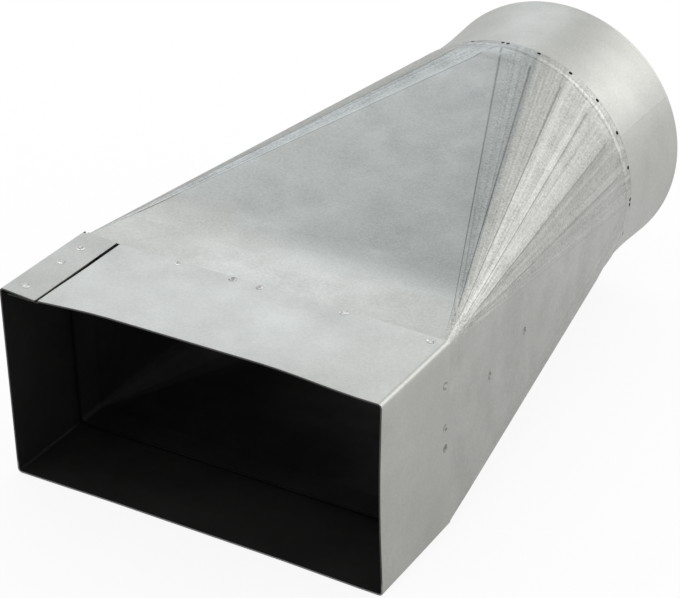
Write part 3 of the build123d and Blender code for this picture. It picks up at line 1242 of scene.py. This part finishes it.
    def part_lower_half(self, context, piece, skew):
        """Sets the front edge askew, parts the body along its side seams and gives the lower half."""
        pick_all()
        bpy.ops.mesh.bisect(plane_co=(0, 0, 0), plane_no=UP)
        skew_seam(skew)
        pick("FACE", lambda face: middle(face).z < 0)
        bpy.ops.mesh.separate(type="SELECTED")
        bpy.ops.object.mode_set(mode="OBJECT")
        lower = next(other for other in context.selected_objects if other != piece)
        lower.name = lower.data.name = "lower_shell_sheet"
        return lower

    def add_seam_tongues(self, lower, body):
        """Tongues of the lower half behind the side seams."""
        select_only(lower)
        bpy.ops.object.mode_set(mode="EDIT")
        for side in (-1, 1):
            pick("EDGE", lambda edge: at_seam(edge, side, fade_start(body)))
            extrude_edges(-side * body.lip_inset, 0, 0)
            extrude_edges(0, 0, body.seam_lap)
        bpy.ops.object.mode_set(mode="OBJECT")

    def finish_half(self, half, rise, settings):
        """Thickens a half, notches its lip at each fold and dents the upper one at the seams' welds."""
        body, sheet = settings.body, settings.sheet
        fade_creases(half, body)
        # The body's rims and its lip inside the sleeve take the dark inside finish, as painted shade
        thicken(half, sheet, folded_zinc, INSIDE, at_body_rim)
        for polygon in half.data.polygons:
            if polygon.center.y < SLEEVE_END - sheet.thickness:
                polygon.material_index = INSIDE
        cutters = []
        for turn in fold_end_places(body):
            if sin(turn) * rise > 0:
                notch = (LIP_RADIUS * cos(turn), SPIGOT_START - body.notch_show, LIP_RADIUS * sin(turn))
                cutters.append(pin_cutter(notch, body.notch_radius, pi / 2 - turn, sheet))
        if rise > 0:
            cutters += weld_cutters(half, side_spots(SEAM_WELDS), settings.weld, shaded_weld(sheet))
        cut_away(half, cutters)


# Round spigot


def at_strip_end(edge, tongue_start):
    """True for the end of the rolled strip just below the seam, behind the body's lip."""
    return all(
        vert.co.x > 0 and -STRIP_END_REACH < vert.co.z < 0 and vert.co.y > tongue_start - TOUCH
        for vert in edge.verts
    )


class DUCT_OT_round_spigot(Operator):
    """Roll the round spigot from one strip, with the lap that closes it"""

    bl_idname = "duct.round_spigot"
    bl_label = "Round spigot"

    def execute(self, context):
        settings = context.scene.duct_reducer
        spigot = settings.spigot
        gap_angle = spigot.seam_gap / SPIGOT_RADIUS
        tongue_start = ROUND_LIP_END + spigot.lap_margin
        piece = self.roll_strip(spigot, gap_angle, tongue_start)
        self.raise_seam(spigot, gap_angle)
        self.add_tongue(spigot, settings.sheet.thickness, tongue_start)
        face_outwards()
        turn_all(spigot.seam_angle)
        press_start = SPIGOT_START + spigot.press_start - TOUCH
        press_end = SPIGOT_START + spigot.press_end + TOUCH
        press_oval(
            spigot, lambda vert: press_start < vert.co.y < press_end, spigot.press_drop, spigot.press_reach
        )
        bpy.ops.object.mode_set(mode="OBJECT")
        thicken(piece, settings.sheet, rolled_zinc, ZINC, lambda place: place.y > DUCT_END - TOUCH)
        finish_piece(piece, "round_spigot")
        return {"FINISHED"}

    def roll_strip(self, spigot, gap_angle, tongue_start):
        """Spins one edge into a ring that stops short of the seam, and rolls a fine line in by its end."""
        strip = DUCT_END - SPIGOT_START
        deselect_all()
        bpy.ops.mesh.primitive_plane_add(
            size=strip, location=(SPIGOT_RADIUS + strip / 2, SPIGOT_START + strip / 2, 0)
        )
        piece = take_piece("spigot_sheet")
        bpy.ops.object.mode_set(mode="EDIT")
        pick("VERT", lambda vert: vert.co.x > SPIGOT_RADIUS + strip / 2)
        bpy.ops.mesh.delete(type="VERT")
        end_line = DUCT_END - spigot.end_line
        rows = places_between(SPIGOT_START, DUCT_END, spigot.row_spacing) + [tongue_start]
        rows += [SPIGOT_START + spigot.press_start, SPIGOT_START + spigot.press_end]
        rows += [end_line - spigot.end_line_reach, end_line, end_line + spigot.end_line_reach]
        cut_across(ALONG, rows)
        pick_all()
        bpy.ops.mesh.spin(steps=spigot.steps, angle=2 * pi - gap_angle, center=(0, 0, 0), axis=(0, -1, 0))
        pick_all()
        bpy.ops.mesh.remove_doubles(threshold=TOUCH)
        pick("VERT", lambda vert: near(vert.co.y, end_line))
        set_ring_radius(SPIGOT_RADIUS - spigot.end_line_depth)
        return piece

    def raise_seam(self, spigot, gap_angle):
        """The flat ends of the rolled strip stand out a little at the seam."""
        pick("VERT", lambda vert: vert.co.x > 0 and abs(atan2(vert.co.z, vert.co.x)) < 2 * gap_angle)
        bpy.ops.transform.translate(value=(spigot.seam_peak, 0, 0), **drawn_along("SHARP", spigot.seam_reach))

    def add_tongue(self, spigot, thickness, tongue_start):
        """The tongue behind the seam."""
        pick("EDGE", lambda edge: at_strip_end(edge, tongue_start))
        extrude_edges(-(thickness + spigot.lap_gap + spigot.seam_peak), 0, 0)
        step = spigot.lap / SPIGOT_RADIUS / spigot.lap_steps
        for _ in range(spigot.lap_steps):
            extrude_edges(0, 0, 0)
            turn_selected(-step)


class DUCT_OT_stage(Operator):
    """Set the pale floor, the soft lights and the camera"""

    bl_idname = "duct.stage"
    bl_label = "Stage"

    def execute(self, context):
        settings = context.scene.duct_reducer
        self.lay_floor(settings.stage, fade_start(settings.body))
        self.light(settings.stage)
        self.aim_camera(context, settings.stage)
        context.scene.view_settings.view_transform = "Standard"
        return {"FINISHED"}

    def lay_floor(self, stage, rear_touch):
        """A plane that the sleeve's front edge and the neck stand on, and that is clear from below."""
        tilt = -atan((SPIGOT_RADIUS - HALF_HEIGHT) / rear_touch)
        deselect_all()
        bpy.ops.mesh.primitive_plane_add(
            size=stage.floor_size, location=(0, 0, -HALF_HEIGHT), rotation=(tilt, 0, 0)
        )
        floor = bpy.context.object
        floor.name = "floor"
        material = bpy.data.materials.new("pale floor")
        material.use_nodes = True
        tree = material.node_tree
        tree.nodes.remove(tree.nodes["Principled BSDF"])
        matt = add_node(tree, "ShaderNodeBsdfDiffuse", color=(*stage.floor_colour, 1)).outputs["BSDF"]
        white = add_node(tree, "ShaderNodeEmission", color=(1, 1, 1, 1), strength=1.0).outputs["Emission"]
        clear = tree.nodes.new("ShaderNodeBsdfTransparent").outputs["BSDF"]
        below = tree.nodes.new("ShaderNodeNewGeometry").outputs["Backfacing"]
        above = mix_shaders(tree, self.white_share(tree, stage), matt, white)
        surface = mix_shaders(tree, below, above, clear)
        feed(tree, surface, tree.nodes["Material Output"].inputs["Surface"])
        floor.data.materials.append(material)

    def white_share(self, tree, stage):
        """How white the floor shows to the camera, and how white in reflections and through glass."""
        path = tree.nodes.new("ShaderNodeLightPath").outputs
        mirrored = calculate(tree, "MAXIMUM", path["Is Glossy Ray"], path["Is Transmission Ray"])
        dimmed = calculate(tree, "MULTIPLY", mirrored, stage.mirror_glow)
        return calculate(tree, "MULTIPLY_ADD", path["Is Camera Ray"], stage.floor_glow, dimmed)

    def light(self, stage):
        """A white room and two softboxes behind the duct."""
        world = bpy.data.worlds.new("white room")
        bpy.context.scene.world = world
        world.use_nodes = True
        background = world.node_tree.nodes["Background"]
        background.inputs["Color"].default_value = (1, 1, 1, 1)
        background.inputs["Strength"].default_value = stage.room_level
        centre = Vector((0, DUCT_END / 2, 0))
        for side, azimuth, elevation, width, height in SOFTBOXES:
            turn, tilt = radians(azimuth), radians(elevation)
            toward = Vector((sin(turn) * cos(tilt), cos(turn) * cos(tilt), sin(tilt)))
            bpy.ops.object.light_add(type="AREA", location=centre + toward * SOFTBOX_DISTANCE)
            lamp = bpy.context.object
            lamp.name = f"{side}_softbox"
            lamp.data.shape = "RECTANGLE"
            lamp.data.size = width
            lamp.data.size_y = height
            lamp.data.energy = getattr(stage, f"{side}_power")
            lamp.data.color = getattr(stage, f"{side}_colour")
            lamp.rotation_euler = toward.to_track_quat("Z", "Y").to_euler()

    def aim_camera(self, context, stage):
        """The camera at the picture's own place."""
        turn, tilt = stage.azimuth, stage.elevation
        back = Vector((sin(turn) * cos(tilt), -cos(turn) * cos(tilt), sin(tilt)))
        level = Vector(UP).cross(back).normalized()
        rise = back.cross(level)
        right = cos(stage.roll) * level + sin(stage.roll) * rise
        up = cos(stage.roll) * rise - sin(stage.roll) * level
        data = bpy.data.cameras.new("camera")
        data.sensor_fit = "HORIZONTAL"
        data.lens = data.sensor_width * stage.focal_pixels / PHOTO_WIDTH
        camera = bpy.data.objects.new("camera", data)
        context.scene.collection.objects.link(camera)
        place = Vector(stage.target) + back * stage.distance + right * stage.shift_right + up * stage.shift_up
        camera.matrix_world = Matrix.Translation(place) @ Matrix((right, up, back)).transposed().to_4x4()
        context.scene.camera = camera


class DUCT_PT_reducer(Panel):
    """Lists the pieces of the duct reducer and their settings"""

    bl_label = "Duct Reducer"
    bl_idname = "DUCT_PT_reducer"
    bl_space_type = "VIEW_3D"
    bl_region_type = "UI"
    bl_category = "Duct Reducer"

    def draw(self, context):
        settings = context.scene.duct_reducer
        for group, operator in (
            ("sheet", None),
            ("weld", None),
            ("sleeve", DUCT_OT_rect_sleeve),
            ("body", DUCT_OT_body_halves),
            ("spigot", DUCT_OT_round_spigot),
            ("stage", DUCT_OT_stage),
        ):
            box = self.layout.box()
            if operator is None:
                box.label(text=group.title())
            else:
                box.operator(operator.bl_idname)
            values = getattr(settings, group)
            for name in values.__annotations__:
                box.prop(values, name)


CLASSES = (
    SheetSettings,
    SleeveSettings,
    BodySettings,
    SpigotSettings,
    WeldSettings,
    StageSettings,
    DuctReducerSettings,
    DUCT_OT_rect_sleeve,
    DUCT_OT_body_halves,
    DUCT_OT_round_spigot,
    DUCT_OT_stage,
    DUCT_PT_reducer,
)


def register():
    """Adds the settings, the operators and the panel to Blender."""
    for cls in CLASSES:
        bpy.utils.register_class(cls)
    bpy.types.Scene.duct_reducer = PointerProperty(type=DuctReducerSettings)


def unregister():
    """Takes them out again."""
    del bpy.types.Scene.duct_reducer
    for cls in reversed(CLASSES):
        bpy.utils.unregister_class(cls)


def main():
    """Builds every piece and the stage."""
    register()
    bpy.ops.duct.rect_sleeve()
    bpy.ops.duct.body_halves()
    bpy.ops.duct.round_spigot()
    bpy.ops.duct.stage()


if __name__ == "__main__":
    main()
